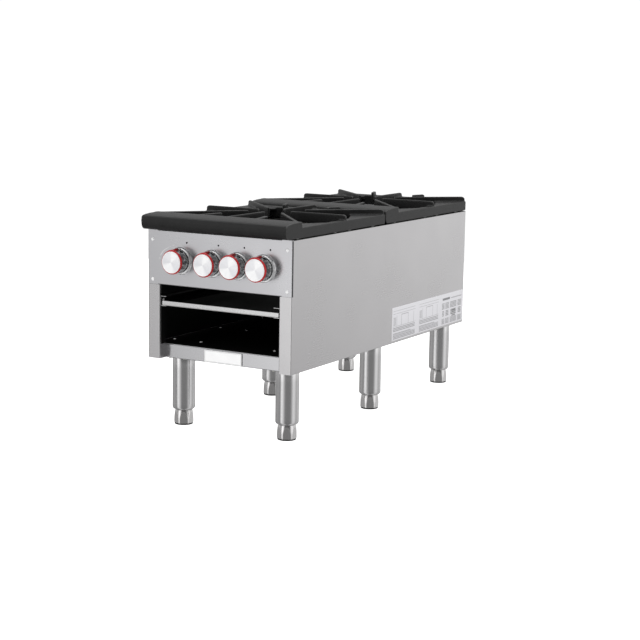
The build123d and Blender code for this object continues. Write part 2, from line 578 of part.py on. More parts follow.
def grate():
    """One cast grate, modelled where the front one stands."""
    # front shelf: upright rounded nose across the whole width, sloping top, hollow underneath
    nose = [(-22, 549.8), (-28.5, 555), (-31.5, 564), (-32, 574), (-30.5, 583), (-26, 587.2), (-12, 589.6), (8, 591.0)]
    pr = [(-13, GRATE_Z0)] + nose + [(30, GRATE_TOP), (48, GRATE_TOP), (48, GRATE_Z0)]
    f = poly(pr)
    v = f.vertices().sort_by_distance(Vector(48, GRATE_TOP, 0))[0]
    f = fillet(v, radius=2.5)
    for q in nose + [(30, GRATE_TOP)]:
        v = f.vertices().sort_by_distance(Vector(q[0], q[1], 0))[0]
        f = fillet(v, radius=3.0)
    shelf = prism(f, "x", -GHW, GHW)
    cav = prism(poly([(-13, 548), (-21, 559), (-23, 571), (-13, 581), (40, 583), (40, 548)]), "x", -GHW + 8, GHW - 8)
    shelf = shelf - cav
    # top plate with the eight-sided opening, skirts at the sides
    plate = bx(-GHW, GHW, 46, GRATE_REAR, 569, GRATE_PLATE)
    oct_f = poly(OCT)
    for v in OCT[2:]:
        q = oct_f.vertices().sort_by_distance(Vector(v[0], v[1], 0))[0]
        oct_f = fillet(q, radius=22.0)
    plate = plate - prism(oct_f, "z", 540, 600)
    for sx in (-1, 1):
        plate = plate + bx(min(sx * (GHW - 8), sx * GHW), max(sx * (GHW - 8), sx * GHW), 40, GRATE_REAR, GRATE_Z0, GRATE_PLATE)
    # rear bar
    bar = bx(-205, 205, 478, GRATE_REAR, BAR_Z0, 580)
    bar = fillet(bar.edges().filter_by(Axis.X), radius=2.0)
    bar = bar + bx(-GHW, GHW, 478, GRATE_REAR, BAR_Z0 + 0.5, GRATE_PLATE)
    bar = bar - bx(-GHW + 8, GHW - 8, 486, 502, BAR_Z0 - 1, 571)
    g = shelf + plate + bar
    # round the outer upright corners at the rear
    try:
        es = [e for e in g.edges().filter_by(Axis.Z)
              if abs(abs(e.center().X) - GHW) < 0.1 and abs(e.center().Y - GRATE_REAR) < 0.1]
        g = fillet(es, radius=5.0)
    except Exception:
        pass
    # long fingers
    for sx in (-1, 1):
        g = g + finger((sx * 218, 40), (sx * 55, 230), ro=0)
        g = g + finger((sx * 228, 283), (sx * 52, 283), ro=8.0)
        g = g + finger((sx * 226, 503), (sx * 60, 345))
        g = g + finger((sx * 91, 42), (sx * 72, 122), z0=568.0, ro=0, w=9.0)
        g = g + finger((sx * 88, 494), (sx * 72, 448), z0=568.0, ro=6.0, w=9.0)
    g = g + finger((0, 40), (0, 226), ro=0)
    g = g + finger((0, 509), (0, 330))
    # nubs that stand on the cabinet
    for sx in (-1, 1):
        for y in (24.0, 220.0, 300.0, 434.0):
            g = g + bx(min(sx * 219, sx * 228), max(sx * 219, sx * 228), y, y + 9, Z_TOP + 0.3, GRATE_Z0 + 1)
    return g


g0 = grate()
put("front_grate", g0)
put("rear_grate", Pos(0, PITCH, 0) * g0)
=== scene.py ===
import math
import bpy
import bmesh
from mathutils import Vector, Matrix


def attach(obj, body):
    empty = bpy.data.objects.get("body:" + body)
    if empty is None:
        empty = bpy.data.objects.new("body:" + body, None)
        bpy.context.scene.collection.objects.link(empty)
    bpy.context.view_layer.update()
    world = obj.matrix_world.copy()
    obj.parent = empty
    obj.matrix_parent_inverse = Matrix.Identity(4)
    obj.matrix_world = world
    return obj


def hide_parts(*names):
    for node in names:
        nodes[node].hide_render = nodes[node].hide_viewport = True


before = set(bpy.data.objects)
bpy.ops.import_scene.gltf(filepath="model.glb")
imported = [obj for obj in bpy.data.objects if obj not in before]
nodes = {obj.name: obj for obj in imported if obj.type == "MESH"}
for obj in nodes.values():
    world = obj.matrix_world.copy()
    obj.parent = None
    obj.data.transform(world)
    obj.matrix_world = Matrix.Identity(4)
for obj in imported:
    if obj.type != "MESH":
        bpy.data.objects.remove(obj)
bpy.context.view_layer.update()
YC = 517.0                      # the design's Y = 0 is the panel face


def P(x, y, z):
    """Design millimetres to metres in the shared frame."""
    return Vector((x / 1000.0, (y - YC) / 1000.0, z / 1000.0))


KNOB_X = (-121.5, -20.5, 60.8, 141.8)
KNOB_Z = 468.0
LEG_X, LEG_Y = 168.0, {"front": 83.0, "middle": 551.0, "rear": 1013.7}
BURN = {"front": 285.0, "rear": 829.0}

# ------------------------------------------------------------------ materials


class Mat:
    """Small helper to wire a node material."""

    def __init__(self, name):
        self.m = bpy.data.materials.new(name)
        self.m.use_nodes = True
        self.t = self.m.node_tree
        self.t.nodes.clear()
        self.out = self.t.nodes.new("ShaderNodeOutputMaterial")
        self.b = self.t.nodes.new("ShaderNodeBsdfPrincipled")
        self.t.links.new(self.b.outputs[0], self.out.inputs[0])
        self.tc = self.t.nodes.new("ShaderNodeTexCoord")

    def n(self, kind, **kw):
        nd = self.t.nodes.new(kind)
        for k, v in kw.items():
            setattr(nd, k, v)
        return nd

    def link(self, a, b):
        self.t.links.new(a, b)

    def mapped(self, scale, loc=(0, 0, 0), rot=(0, 0, 0)):
        mp = self.n("ShaderNodeMapping")
        mp.inputs["Scale"].default_value = scale
        mp.inputs["Location"].default_value = loc
        mp.inputs["Rotation"].default_value = rot
        self.link(self.tc.outputs["Object"], mp.inputs["Vector"])
        return mp.outputs[0]

    def noise(self, vec, scale=1.0, detail=3.0, rough=0.55, dist=0.0):
        nd = self.n("ShaderNodeTexNoise")
        nd.inputs["Scale"].default_value = scale
        nd.inputs["Detail"].default_value = detail
        nd.inputs["Roughness"].default_value = rough
        nd.inputs["Distortion"].default_value = dist
        self.link(vec, nd.inputs["Vector"])
        return nd.outputs["Fac"]

    def remap(self, v, a, b, c, d, smooth=False):
        nd = self.n("ShaderNodeMapRange")
        if smooth:
            nd.interpolation_type = "SMOOTHSTEP"
        nd.inputs["From Min"].default_value = a
        nd.inputs["From Max"].default_value = b
        nd.inputs["To Min"].default_value = c
        nd.inputs["To Max"].default_value = d
        self.link(v, nd.inputs["Value"])
        return nd.outputs[0]

    def math(self, op, a, b=None, clamp=False):
        nd = self.n("ShaderNodeMath", operation=op, use_clamp=clamp)
        for i, v in enumerate((a, b)):
            if v is None:
                continue
            if isinstance(v, (int, float)):
                nd.inputs[i].default_value = v
            else:
                self.link(v, nd.inputs[i])
        return nd.outputs[0]

    def mixc(self, fac, c0, c1):
        nd = self.n("ShaderNodeMix", data_type="RGBA")
        if isinstance(fac, (int, float)):
            nd.inputs[0].default_value = fac
        else:
            self.link(fac, nd.inputs[0])
        for i, c in ((6, c0), (7, c1)):
            if isinstance(c, (tuple, list)):
                nd.inputs[i].default_value = (*c, 1.0) if len(c) == 3 else c
            else:
                self.link(c, nd.inputs[i])
        return nd.outputs[2]

    def bump(self, height, strength, distance, normal=None):
        nd = self.n("ShaderNodeBump")
        nd.inputs["Strength"].default_value = strength
        nd.inputs["Distance"].default_value = distance
        self.link(height, nd.inputs["Height"])
        if normal is not None:
            self.link(normal, nd.inputs["Normal"])
        return nd.outputs[0]

    def set(self, **kw):
        for k, v in kw.items():
            self.b.inputs[k.replace("_", " ")].default_value = v
        return self

    def to(self, socket, v):
        self.link(v, self.b.inputs[socket])


def steel(name, grain, base=(0.53, 0.535, 0.545), rough=0.34, spread=0.10, dark=None, aniso=0.0, grit=1.0):
    """Brushed sheet. grain is the axis the brushing runs along. dark is an
    optional test that paints the inner side near-black as painted shade: (axis, low, high)."""
    m = Mat(name)
    fine = {"x": (6, 900, 900), "y": (900, 6, 900), "z": (900, 900, 6)}[grain]
    mid = {"x": (2, 380, 380), "y": (380, 2, 380), "z": (380, 380, 2)}[grain]
    f = m.noise(m.mapped(fine), 1.0, 2.0)
    g = m.noise(m.mapped(mid, loc=(3.1, 1.7, 0.4)), 1.0, 3.0)
    blot = m.noise(m.mapped((7, 7, 7), loc=(0.3, 5.2, 2.0)), 1.0, 3.0)
    streak = m.math("ADD", m.math("MULTIPLY", f, 0.55), m.math("MULTIPLY", g, 0.45))
    lo = tuple(c * (1.0 - 0.035 * grit) for c in base)
    hi = tuple(min(1.0, c * (1.0 + 0.03 * grit)) for c in base)
    col = m.mixc(m.remap(streak, 0.30, 0.70, 0.0, 1.0), lo, hi)
    col = m.mixc(m.remap(blot, 0.35, 0.75, 0.0, 0.12), col, tuple(c * 0.90 for c in base))
    r = m.remap(streak, 0.30, 0.70, rough - spread / 2, rough + spread / 2)
    r = m.math("ADD", r, m.remap(blot, 0.3, 0.8, 0.0, 0.05))
    metal = None
    if dark is not None:
        col, r, metal = dark(m, col, r)
        m.to("Specular IOR Level", m.math("ADD", m.math("MULTIPLY", metal, 0.40), 0.10))
    m.to("Base Color", col)
    m.to("Roughness", r)
    if metal is None:
        m.set(Metallic=1.0)
    else:
        m.to("Metallic", metal)
    if aniso:
        m.set(Anisotropic=aniso)
    m.to("Normal", m.bump(streak, 0.035 * grit, 0.0003))
    return m.m


def sep(m):
    s = m.n("ShaderNodeSeparateXYZ")
    m.link(m.tc.outputs["Object"], s.inputs[0])
    return s.outputs


def painted_shade_mix(m, col, r, mask):
    """Painted shade on the inside of the cabinet: near-black colour with a faint speckle."""
    sp = m.noise(m.mapped((240, 240, 240)), 1.0, 3.0)
    cc = m.mixc(m.remap(sp, 0.35, 0.7, 0.0, 1.0), (0.0035, 0.0035, 0.0035), (0.007, 0.007, 0.0068))
    col = m.mixc(mask, col, cc)
    one = m.math("SUBTRACT", 1.0, mask)
    r = m.math("ADD", m.math("MULTIPLY", r, one), m.math("MULTIPLY", mask, m.remap(sp, 0.3, 0.7, 0.50, 0.64)))
    return col, r, one


# the dark_* masks below choose where each sheet gets the near-black painted shade
def dark_side(m, col, r):
    """Side panel: everything inboard of the outer skin and behind the strip."""
    x, y, z = sep(m)
    ax = m.math("ABSOLUTE", x)
    a = m.remap(ax, 0.2277, 0.2273, 0.0, 1.0)                   # inboard of the outer skin
    b = m.remap(y, (4.0 - YC) / 1000, (6.0 - YC) / 1000, 0.0, 1.0)      # behind the front strip's face
    c = m.remap(z, 0.5455, 0.5450, 0.0, 1.0)                    # below the top flange
    d = m.remap(y, (1052.7 - YC) / 1000, (1052.3 - YC) / 1000, 0.0, 1.0)   # in front of the rear flange
    e = m.remap(z, 0.2328, 0.2338, 0.0, 1.0)
    f = m.remap(ax, 0.2262, 0.2256, 0.0, 1.0)                    # well inboard on the top flange
    c = m.math("MAXIMUM", c, f)
    mask = m.math("MULTIPLY", m.math("MULTIPLY", a, b), m.math("MULTIPLY", c, m.math("MULTIPLY", d, e)))
    top = m.math("MULTIPLY", m.remap(z, 0.5453, 0.5457, 0.0, 1.0), m.remap(y, (6.0 - YC) / 1000, (8.0 - YC) / 1000, 0.0, 1.0))
    mask = m.math("MAXIMUM", mask, top)                        # the painted shade runs over the top edge
    return painted_shade_mix(m, col, r, mask)


def dark_floor(m, col, r):
    x, y, z = sep(m)
    a = m.remap(z, 0.2321, 0.2325, 0.0, 1.0)
    b = m.remap(y, (28.5 - YC) / 1000, (29.5 - YC) / 1000, 0.0, 1.0)
    return painted_shade_mix(m, col, r, m.math("MULTIPLY", a, b))


def dark_rear(m, col, r):
    x, y, z = sep(m)
    a = m.remap(y, (1052.3 - YC) / 1000, (1052.0 - YC) / 1000, 0.0, 1.0)
    c = m.remap(z, 0.5455, 0.5450, 0.0, 1.0)
    return painted_shade_mix(m, col, r, m.math("MULTIPLY", a, c))


def dark_panel(m, col, r):
    x, y, z = sep(m)
    a = m.remap(y, (1.0 - YC) / 1000, (1.15 - YC) / 1000, 0.0, 1.0)
    c = m.remap(z, 0.5455, 0.5450, 0.0, 1.0)
    e = m.remap(z, 0.3994, 0.3997, 0.0, 1.0)
    return painted_shade_mix(m, col, r, m.math("MULTIPLY", a, m.math("MULTIPLY", c, e)))


def dark_kick(m, col, r):
    x, y, z = sep(m)
    a = m.remap(y, (28.3 - YC) / 1000, (28.6 - YC) / 1000, 0.0, 1.0)
    return painted_shade_mix(m, col, r, a)


def dark_tray(m, col, r):
    """Painted shade inside the tray: near-black colour, bare metal on the lip."""
    x, y, z = sep(m)
    a = m.remap(y, (8.6 - YC) / 1000, (9.0 - YC) / 1000, 0.0, 1.0)
    return painted_shade_mix(m, col, r, a)


def dark_rail(m, col, r):
    x, y, z = sep(m)
    a = m.remap(y, (4.4 - YC) / 1000, (5.0 - YC) / 1000, 0.0, 1.0)
    return painted_shade_mix(m, col, r, a)


def badge_face(name):
    """Blank plate: white lacquered face with a thin line near its edge, sides painted near-black as painted shade."""
    m = Mat(name)
    x, y, z = sep(m)
    ax = m.math("ABSOLUTE", x)
    az_ = m.math("ABSOLUTE", m.math("SUBTRACT", z, 0.21265))
    # painted shade: the plate's side faces are drawn near-black
    side = m.remap(y, (24.6 - YC) / 1000, (24.2 - YC) / 1000, 1.0, 0.0)
    ex = m.math("SUBTRACT", 0.0595, ax)
    ez = m.math("SUBTRACT", 0.01635, az_)
    e = m.math("MINIMUM", ex, ez)
    line = m.math("MULTIPLY", m.math("GREATER_THAN", e, 0.0018), m.math("LESS_THAN", e, 0.0026))
    n1 = m.noise(m.mapped((420, 420, 420)), 1.0, 3.0)
    n2 = m.noise(m.mapped((30, 30, 30), loc=(4, 1, 1)), 1.0, 3.0)
    face = m.mixc(m.remap(n2, 0.3, 0.7, 0, 1), (0.88, 0.88, 0.885), (0.93, 0.93, 0.93))
    face = m.mixc(m.math("MULTIPLY", line, 0.55), face, (0.10, 0.10, 0.105))
    m.to("Base Color", m.mixc(side, face, (0.05, 0.05, 0.055)))
    m.to("Roughness", m.remap(n1, 0.3, 0.7, 0.30, 0.38))
    m.to("Normal", m.bump(n1, 0.04, 0.0002))
    return m.m


def cast_iron(name, base=0.022, rough=0.56, grain=520.0, spec=0.5, pads=False):
    m = Mat(name)
    n1 = m.noise(m.mapped((grain, grain, grain)), 1.0, 4.0, 0.6)
    n2 = m.noise(m.mapped((45, 45, 45), loc=(2, 1, 4)), 1.0, 4.0)
    v = m.n("ShaderNodeTexVoronoi")
    m.link(m.mapped((330, 330, 330)), v.inputs["Vector"])
    v.inputs["Scale"].default_value = 1.0
    geo = m.n("ShaderNodeNewGeometry")
    # painted highlight: convex edges are drawn much lighter
    edge = m.remap(geo.outputs["Pointiness"], 0.508, 0.552, 0.0, 1.0, True)
    col = m.mixc(m.remap(n2, 0.3, 0.7, 0.0, 1.0), (base * 0.8,) * 3, (base * 1.25, base * 1.25, base * 1.27))
    col = m.mixc(m.math("MULTIPLY", edge, m.remap(n2, 0.3, 0.7, 0.45, 0.85)), col, (base * 9.0, base * 8.9, base * 8.8))
    if pads:
        x, y, z = sep(m)
        low_ = m.remap(z, 0.5494, 0.5489, 0.0, 1.0)
        up_ = m.remap(z, 0.5475, 0.5471, 1.0, 0.0)
        col = m.mixc(m.math("MULTIPLY", low_, up_), col, (0.30, 0.30, 0.30))
    m.to("Base Color", col)
    m.to("Roughness", m.remap(n1, 0.3, 0.7, rough - 0.06, rough + 0.08))
    h = m.math("ADD", m.math("MULTIPLY", n1, 0.7), m.math("MULTIPLY", v.outputs["Distance"], 0.4))
    m.to("Normal", m.bump(h, 0.35, 0.0006))
    m.set(Metallic=0.0)
    m.b.inputs["Specular IOR Level"].default_value = spec
    return m.m


def metal(name, base, rough, spread=0.06, scale=300.0, bump=0.08, tint=None, metallic=1.0, spec=0.5):
    m = Mat(name)
    n1 = m.noise(m.mapped((scale, scale, scale)), 1.0, 3.0)
    n2 = m.noise(m.mapped((22, 22, 22), loc=(1, 6, 2)), 1.0, 4.0)
    lo = tuple(c * 0.86 for c in base)
    col = m.mixc(m.remap(n2, 0.3, 0.72, 0.0, 1.0), lo, base)
    if tint is not None:
        col = m.mixc(m.remap(n2, 0.52, 0.72, 0.0, 0.5), col, tint)
    m.to("Base Color", col)
    m.to("Roughness", m.remap(n1, 0.3, 0.7, rough - spread / 2, rough + spread / 2))
    m.set(Metallic=metallic, Specular_IOR_Level=spec)
    m.to("Normal", m.bump(n1, bump, 0.0003))
    return m.m


def chrome(name, lo=(0.66, 0.67, 0.68), hi=(0.74, 0.745, 0.75)):
    m = Mat(name)
    n2 = m.noise(m.mapped((60, 60, 60)), 1.0, 3.0)
    f = m.noise(m.mapped((900, 900, 900)), 1.0, 2.0)
    m.to("Base Color", m.mixc(m.remap(n2, 0.3, 0.7, 0.0, 1.0), lo, hi))
    m.to("Roughness", m.remap(f, 0.3, 0.7, 0.03, 0.06))
    m.set(Metallic=1.0)
    m.to("Normal", m.bump(n2, 0.02, 0.0008))
    return m.m


def spun_disc(name, cx):
    """Turned aluminium: fine rings, soft sectors of painted reflection, and a painted highlight on the rim."""
    m = Mat(name)
    x, y, z = sep(m)
    dx = m.math("SUBTRACT", x, cx / 1000.0)
    dz = m.math("SUBTRACT", z, KNOB_Z / 1000.0)
    rr = m.math("SQRT", m.math("ADD", m.math("MULTIPLY", dx, dx), m.math("MULTIPLY", dz, dz)))
    ang = m.math("ARCTAN2", dz, dx)
    # painted reflection: lighter and darker sectors round the centre
    two = m.math("COSINE", m.math("SUBTRACT", m.math("MULTIPLY", ang, 2.0), 2.15))
    four = m.math("COSINE", m.math("ADD", m.math("MULTIPLY", ang, 5.0), 0.6))
    ring = m.math("SINE", m.math("MULTIPLY", rr, 2 * math.pi / 0.00055))
    jit = m.noise(m.mapped((40, 40, 40)), 1.0, 2.0)
    sec = m.math("ADD", m.math("MULTIPLY", two, 0.5), m.math("MULTIPLY", four, 0.16))
    sec = m.remap(sec, -0.6, 0.6, 0.0, 1.0, True)
    col = m.mixc(sec, (0.76, 0.76, 0.785), (0.98, 0.98, 0.985))
    # painted highlight: the rim is drawn near-white
    painted_rim_highlight = m.remap(rr, 0.0272, 0.0284, 0.0, 1.0, True)
    col = m.mixc(painted_rim_highlight, col, (0.98, 0.98, 0.98))
    m.to("Base Color", col)
    m.to("Roughness", m.math("ADD", m.remap(ring, -1, 1, 0.28, 0.34), m.math("MULTIPLY", jit, 0.04)))
    m.set(Metallic=0.42, Anisotropic=0.75)
    tg = m.n("ShaderNodeTangent", direction_type="RADIAL", axis="Y")
    m.to("Tangent", tg.outputs[0])
    m.to("Normal", m.bump(ring, 0.03, 0.0001))
    return m.m


def red_plastic(name):
    m = Mat(name)
    n1 = m.noise(m.mapped((700, 700, 700)), 1.0, 3.0)
    n2 = m.noise(m.mapped((60, 60, 60)), 1.0, 3.0)
    x, y, z = sep(m)
    # painted shade: the red darkens towards the panel
    painted_shade_to_panel = m.remap(y, (-30.0 - YC) / 1000, (-9.0 - YC) / 1000, 0.0, 1.0, True)
    col = m.mixc(m.remap(n2, 0.3, 0.7, 0, 1), (0.36, 0.006, 0.009), (0.45, 0.010, 0.012))
    m.to("Base Color", m.mixc(painted_shade_to_panel, col, (0.13, 0.002, 0.003)))
    m.to("Roughness", m.remap(n1, 0.3, 0.7, 0.26, 0.36))
    m.to("Normal", m.bump(n1, 0.05, 0.0002))
    return m.m


def paper(name, rules):
    """Blank label: pale film with faint ruled boxes. rules is (y0, y1, z0, z1,
    step) blocks in design millimetres."""
    m = Mat(name)
    x, y, z = sep(m)
    ymm = m.math("ADD", m.math("MULTIPLY", y, 1000.0), YC)
    zmm = m.math("MULTIPLY", z, 1000.0)
    ink = None

    def within(v, a, b):
        return m.math("MULTIPLY", m.math("GREATER_THAN", v, a), m.math("LESS_THAN", v, b))

    def add(v):
        nonlocal ink
        ink = v if ink is None else m.math("MAXIMUM", ink, v)

    for y0, y1, z0, z1, step, w, amount in rules:
        inside = m.math("MULTIPLY", within(ymm, y0, y1), within(zmm, z0, z1))
        if step > 0:
            ph = m.math("FRACT", m.math("DIVIDE", m.math("SUBTRACT", zmm, z0), step))
            line = m.math("LESS_THAN", ph, w / step)
        else:
            line = 1.0
        v = m.math("MULTIPLY", inside, line)
        add(m.math("MULTIPLY", v, amount))
    n1 = m.noise(m.mapped((500, 500, 500)), 1.0, 3.0)
    base = m.mixc(m.remap(n1, 0.3, 0.7, 0, 1), (0.60, 0.595, 0.62), (0.64, 0.635, 0.66))
    m.to("Base Color", m.mixc(ink, base, (0.16, 0.16, 0.165)))
    m.to("Roughness", m.remap(n1, 0.3, 0.7, 0.42, 0.52))
    m.to("Normal", m.bump(n1, 0.04, 0.0002))
    return m.m


M = {
    "side": steel("side_sheet", "y", base=(0.562, 0.553, 0.560), dark=dark_side, rough=0.24, spread=0.02, grit=0.45),
    "panel": steel("panel_sheet", "x", base=(0.556, 0.553, 0.570), dark=dark_panel, grit=0.45, rough=0.27, spread=0.03),
    "kick": steel("kick_sheet", "x", base=(0.570, 0.568, 0.582), dark=dark_kick, rough=0.21, spread=0.02, grit=0.45),
    "floor": steel("floor_sheet", "y", dark=dark_floor),
    "rear": steel("rear_sheet", "x", dark=dark_rear),
    "tray": steel("tray_sheet", "y", base=(0.66, 0.66, 0.66), rough=0.26, dark=dark_tray),
    "rail": steel("rail_sheet", "y", base=(0.62, 0.62, 0.62), rough=0.30, dark=dark_rail),
    "hat": steel("leg_rail_sheet", "y", base=(0.5, 0.5, 0.49), rough=0.40),
    "bar": steel("bar_sheet", "x", base=(0.30, 0.29, 0.28), rough=0.46),
    "leg": steel("leg_tube", "z", base=(0.64, 0.635, 0.64), rough=0.22, spread=0.05),
    "foot": steel("foot_metal", "z", base=(0.66, 0.65, 0.65), rough=0.20, spread=0.06),
    # screw heads drawn near-white as a painted highlight
    "screw": metal("screw_painted_highlight", (0.99, 0.99, 0.99), 0.16, metallic=0.08),
    "zinc": metal("zinc_plate", (0.55, 0.55, 0.52), 0.36, tint=(0.6, 0.56, 0.42)),
    "iron": cast_iron("grate_iron", base=0.0066, rough=0.42, spec=0.34, pads=True),
    "burner": cast_iron("burner_iron", base=0.024, rough=0.66, grain=420.0),
    "pipe": metal("black_pipe", (0.035, 0.034, 0.033), 0.48, bump=0.2, metallic=0.4),
    "brass": metal("brass", (0.66, 0.47, 0.19), 0.30, tint=(0.42, 0.27, 0.10)),
    "alu": metal("aluminium_tube", (0.64, 0.65, 0.66), 0.34),
    "plate": metal("shutter_plate", (0.42, 0.42, 0.41), 0.40, tint=(0.32, 0.3, 0.27)),
    "chrome": chrome("knob_chrome", (0.44, 0.445, 0.45), (0.52, 0.525, 0.53)),
    "bezel": metal("bezel_bright", (0.80, 0.80, 0.81), 0.12, spread=0.04, metallic=0.72),
    "red": red_plastic("red_plastic"),
    "badge": badge_face("badge_face"),
    "pad": metal("foot_pad", (0.004, 0.004, 0.004), 0.9, bump=0.3, metallic=0.0, spec=0.08),
    # near-black that stands in for shade on the back of the knob ring
    "dark": metal("knob_back_painted_shade", (0.010, 0.009, 0.009), 0.35, bump=0.05, metallic=0.0),
    "ink": metal("white_print", (0.74, 0.74, 0.75), 0.5, bump=0.05, metallic=0.0),
}


def dress(node, mat):
    me = nodes[node].data
    me.materials.clear()
    me.materials.append(mat)


for n_, k_ in {
    "side_panel_left": "side", "side_panel_right": "side", "control_panel": "panel", "kick_rail": "kick",
    "floor_panel": "floor", "rear_panel": "rear", "grate_crossbar": "bar", "burner_supports": "bar",
    "leg_rail_left": "hat", "leg_rail_right": "hat", "tray_rail_left": "rail", "tray_rail_right": "rail",
    "drip_tray": "tray", "badge_plate": "badge", "leg_bolts": "zinc", "gas_manifold": "pipe",
    "supply_pipe": "pipe", "gas_valves": "brass", "pilot_valves": "brass", "orifices": "brass",
    "rear_feed_pipes": "alu", "pilot_tubes": "alu", "burner_front_outer": "burner",
    "burner_front_inner": "burner", "burner_rear_outer": "burner", "burner_rear_inner": "burner",
    "knob_bezels": "bezel", "front_grate": "iron", "rear_grate": "iron",
    "front_screws": "screw", "rear_screws": "screw", "floor_screws": "screw",
}.items():
    dress(n_, M[k_])
for k_ in range(1, 5):
    dress(f"air_shutter_{k_}", M["plate"])
    dress(f"knob_{k_}", M["chrome"])
    dress(f"knob_face_{k_}", M["red"])
    dress(f"valve_stem_{k_}", M["brass"])
for a_ in ("front", "middle", "rear"):
    for b_ in ("left", "right"):
        dress(f"leg_{a_}_{b_}", M["leg"])
        dress(f"foot_{a_}_{b_}", M["foot"])

# ------------------------------------------------------------------ mesh tools


def new_obj(name, bm, mats, smooth_angle=35.0):
    me = bpy.data.meshes.new(name)
    bmesh.ops.recalc_face_normals(bm, faces=bm.faces)
    bm.normal_update()
    bm.to_mesh(me)
    bm.free()
    for mt in (mats if isinstance(mats, (list, tuple)) else [mats]):
        me.materials.append(mt)
    ob = bpy.data.objects.new(name, me)
    bpy.context.scene.collection.objects.link(ob)
    if smooth_angle is not None:
        me.shade_smooth()
        me.set_sharp_from_angle(angle=math.radians(smooth_angle))
    return ob


def piece(name, bm, mats, body, nodes_=(), smooth=35.0):
    ob = new_obj(name, bm, mats, smooth)
    if nodes_:
        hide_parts(*nodes_)
    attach(ob, body)
    return ob


def apply_mods(ob):
    dg = bpy.context.evaluated_depsgraph_get()
    me = bpy.data.meshes.new_from_object(ob.evaluated_get(dg))
    old = ob.data
    ob.modifiers.clear()
    ob.data = me
    bpy.data.meshes.remove(old)
    return ob


def skin(bm, rings, mat=0, cap0=True, cap1=True, loop=False):
    """Faces between rings of points (lists of Vector). A ring of one point is a pole."""
    rows = [[bm.verts.new(p) for p in ring] for ring in rings]
    pairs = list(zip(range(len(rows)), range(1, len(rows))))
    if loop:
        pairs.append((len(rows) - 1, 0))
    for i, j in pairs:
        A, B = rows[i], rows[j]
        if len(A) == 1 and len(B) == 1:
            continue
        n = max(len(A), len(B))
        for k in range(n):
            k2 = (k + 1) % n
            if len(A) == 1:
                f = bm.faces.new((A[0], B[k2], B[k]))
            elif len(B) == 1:
                f = bm.faces.new((A[k], A[k2], B[0]))
            else:
                f = bm.faces.new((A[k], A[k2], B[k2], B[k]))
            f.material_index = mat
    if not loop:
        for on, row in ((cap0, rows[0]), (cap1, rows[-1])):
            if on and len(row) > 2:
                f = bm.faces.new(row)
                f.material_index = mat
    return rows


def turned(bm, profile, centre, axis="z", segs=64, mat=0, loop=True):
    """Turn a closed (r, h) profile in design millimetres about an axis through centre."""
    cx, cy, cz = centre
    rings = []
    for r, h in profile:
        if r < 1e-6:
            rings.append([P(cx, cy, cz + h) if axis == "z" else P(cx, cy + h, cz)])
            continue
        row = []
        for i in range(segs):
            a = 2 * math.pi * i / segs
            if axis == "z":
                row.append(P(cx + r * math.cos(a), cy + r * math.sin(a), cz + h))
            else:
                row.append(P(cx + r * math.cos(a), cy + h, cz + r * math.sin(a)))
        rings.append(row)
    skin(bm, rings, mat, cap0=False, cap1=False, loop=loop)


def arc(cx, cy, r, a0, a1, n):
    return [(cx + r * math.cos(math.radians(a0 + (a1 - a0) * i / n)),
             cy + r * math.sin(math.radians(a0 + (a1 - a0) * i / n))) for i in range(n + 1)]


def round_rect(w, h, r, n=6):
    """Outline of a rounded rectangle about 0, 0."""
    pts = []
    for sx, sy, a in ((1, 1, 0), (-1, 1, 90), (-1, -1, 180), (1, -1, 270)):
        pts += arc(sx * (w / 2 - r), sy * (h / 2 - r), r, a, a + 90, n)
    return pts


def slab(bm, w, h, r, d0, d1, edge, place, mat=0, n=6, steps=3):
    """Rounded plate from depth d0 to d1, its d1 edge rounded by edge. place maps (u, v, d) to a point."""
    rings = [[place(u, v, d0) for u, v in round_rect(w, h, r, n)]]
    for k in range(steps + 1):
        a = math.pi / 2 * k / steps
        inset = edge * (1 - math.cos(a))
        d = d1 - (edge if d1 > d0 else -edge) * (1 - math.sin(a))
        rings.append([place(u, v, d) for u, v in round_rect(w - 2 * inset, h - 2 * inset, max(r - inset, 0.05), n)])
    skin(bm, rings, mat)


def smooth01(t):
    t = min(1.0, max(0.0, t))
    return t * t * (3 - 2 * t)


# ------------------------------------------------------------------ castings


def casting(node, body, voxel=1.6, smooth=7, mat="iron", ratio=0.25, after=None):
    """The casting of a CAD node with rounded as-cast edges and fillets."""
    me = nodes[node].data.copy()
    ob = bpy.data.objects.new(node + "_casting", me)
    bpy.context.scene.collection.objects.link(ob)
    bm = bmesh.new()
    bm.from_mesh(me)
    bmesh.ops.remove_doubles(bm, verts=bm.verts, dist=1e-6)
    bm.to_mesh(me)
    bm.free()
    me.materials.clear()
    me.materials.append(M[mat])
    r = ob.modifiers.new("r", "REMESH")
    r.mode = "VOXEL"
    r.voxel_size = voxel / 1000.0
    s = ob.modifiers.new("s", "SMOOTH")
    s.factor = 0.5
    s.iterations = smooth
    apply_mods(ob)
    if after is not None:
        after(ob.data)
    d = ob.modifiers.new("d", "DECIMATE")
    d.ratio = ratio
    apply_mods(ob)
    ob.data.shade_smooth()
    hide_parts(node)
    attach(ob, body)
    return ob


